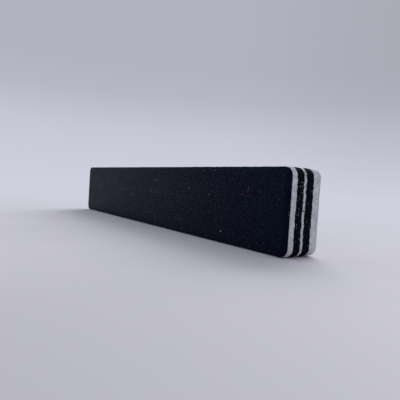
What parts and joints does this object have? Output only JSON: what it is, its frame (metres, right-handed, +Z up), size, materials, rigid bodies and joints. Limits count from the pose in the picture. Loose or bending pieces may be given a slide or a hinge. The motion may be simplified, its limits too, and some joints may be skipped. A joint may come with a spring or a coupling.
{
  "type": "nail buffer block",
  "caption": "Long flat sponge nail file with rounded corners: abrasive faces on white and black foam either side of a stiff plastic core, standing on one long edge.",
  "frame": {"origin": "middle of the long edge that the file stands on, which is the bottom centre of its box", "axes": "+X along the file's length, towards the end that the picture shows nearest; -Y out of the black working face; +Z up the width of the working faces"},
  "size_m": [0.178, 0.014, 0.028],
  "materials": {
    "black_abrasive": "fine matt grit",
    "pale_abrasive": "fine matt grit",
    "black_paper": "matt cut edge",
    "pale_paper": "matt cut edge",
    "white_foam": "matt, fine closed cells",
    "black_foam": "matt, fine closed cells",
    "core_plastic": "satin, sheared edge",
    "clear_glue": "satin"
  },
  "bodies": {
    "root": {"front_grit_coat": "black_abrasive", "front_backing_paper": "black_paper", "front_adhesive_film": "clear_glue", "front_white_foam": "white_foam", "front_foam_bond": "clear_glue", "front_black_foam": "black_foam", "front_core_bond": "clear_glue", "core_board": "core_plastic", "back_core_bond": "clear_glue", "back_black_foam": "black_foam", "back_foam_bond": "clear_glue", "back_white_foam": "white_foam", "back_adhesive_film": "clear_glue", "back_backing_paper": "pale_paper", "back_grit_coat": "pale_abrasive"}
  },
  "joints": []
}
